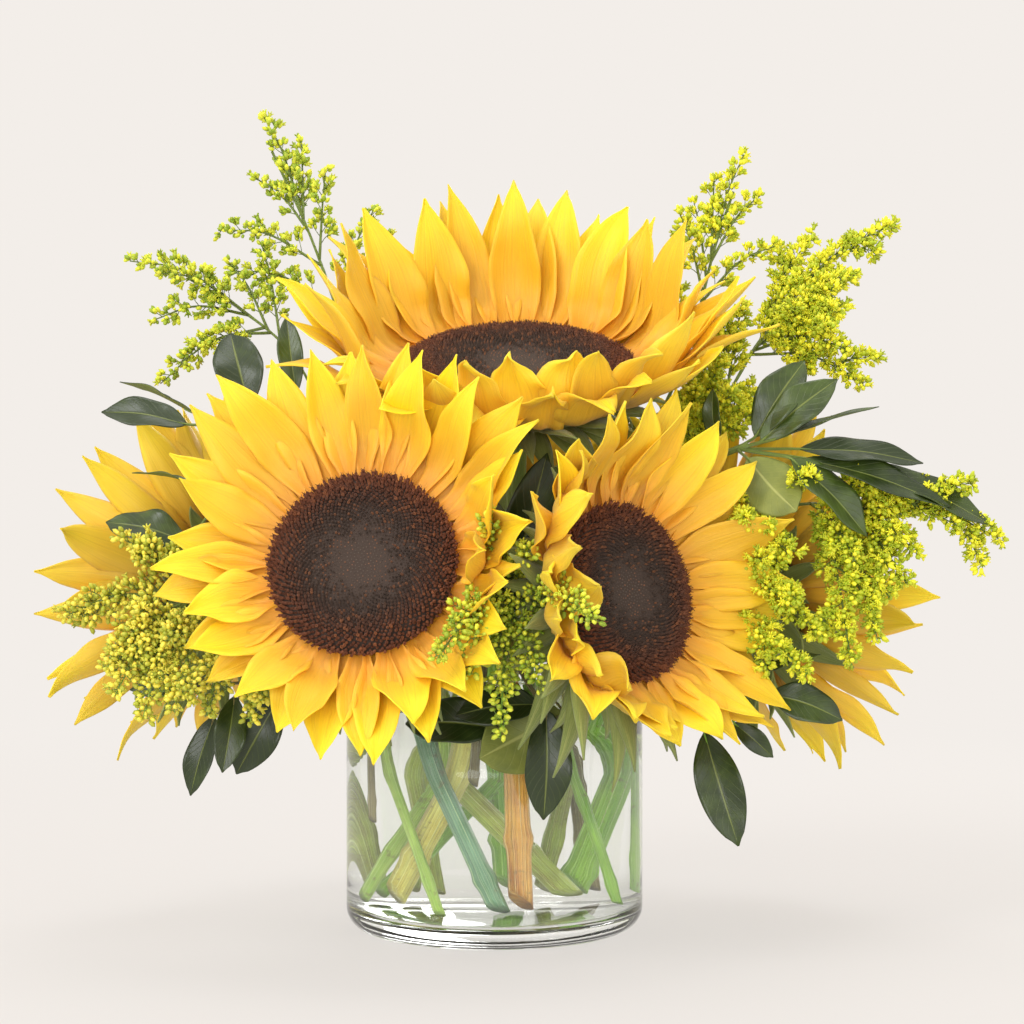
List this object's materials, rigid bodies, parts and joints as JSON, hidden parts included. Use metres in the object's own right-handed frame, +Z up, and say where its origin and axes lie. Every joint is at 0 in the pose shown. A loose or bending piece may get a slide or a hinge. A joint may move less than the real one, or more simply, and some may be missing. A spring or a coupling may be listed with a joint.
{
  "type": "sunflower bouquet in a glass vase",
  "caption": "Round bouquet of cut sunflowers with goldenrod and glossy foliage, standing in water in a clear glass cylinder vase.",
  "frame": {"origin": "centre of the vase's underside", "axes": "+Z up along the vase's axis, -Y towards the front of the bouquet, +X to the right seen from the front"},
  "size_m": [0.4095, 0.2656, 0.357],
  "materials": {
    "glass": "clear polished",
    "water": "clear",
    "stem": "fresh cut stem, fine hairs",
    "bract": "green, hairy",
    "petal": "satin petal with fine veins",
    "disc": "matt florets",
    "goldenrod": "small yellow-green florets",
    "leaf": "waxy glossy leaf"
  },
  "bodies": {
    "root": {"vase": "glass", "water": "water", "sunflower_top_stem": "stem", "sunflower_top_bracts": "bract", "sunflower_top_petals": "petal", "sunflower_top_disc": "disc", "sunflower_front_left_stem": "stem", "sunflower_front_left_bracts": "bract", "sunflower_front_left_petals": "petal", "sunflower_front_left_disc": "disc", "sunflower_front_right_stem": "stem", "sunflower_front_right_bracts": "bract", "sunflower_front_right_petals": "petal", "sunflower_front_right_disc": "disc", "sunflower_back_left_stem": "stem", "sunflower_back_left_bracts": "bract", "sunflower_back_left_petals": "petal", "sunflower_back_left_disc": "disc", "sunflower_back_right_stem": "stem", "sunflower_back_right_bracts": "bract", "sunflower_back_right_petals": "petal", "sunflower_back_right_disc": "disc", "sunflower_back_stem": "stem", "sunflower_back_bracts": "bract", "sunflower_back_petals": "petal", "sunflower_back_disc": "disc", "goldenrod_tall_left": "goldenrod", "goldenrod_left": "goldenrod", "goldenrod_tall_right": "goldenrod", "goldenrod_right": "goldenrod", "goldenrod_low_right": "goldenrod", "goldenrod_low_left": "goldenrod", "goldenrod_front": "goldenrod", "goldenrod_back": "goldenrod", "foliage_left": "leaf", "foliage_low_left": "leaf", "foliage_right": "leaf", "foliage_low_right": "leaf", "foliage_front": "leaf", "foliage_back": "leaf"}
  },
  "joints": []
}
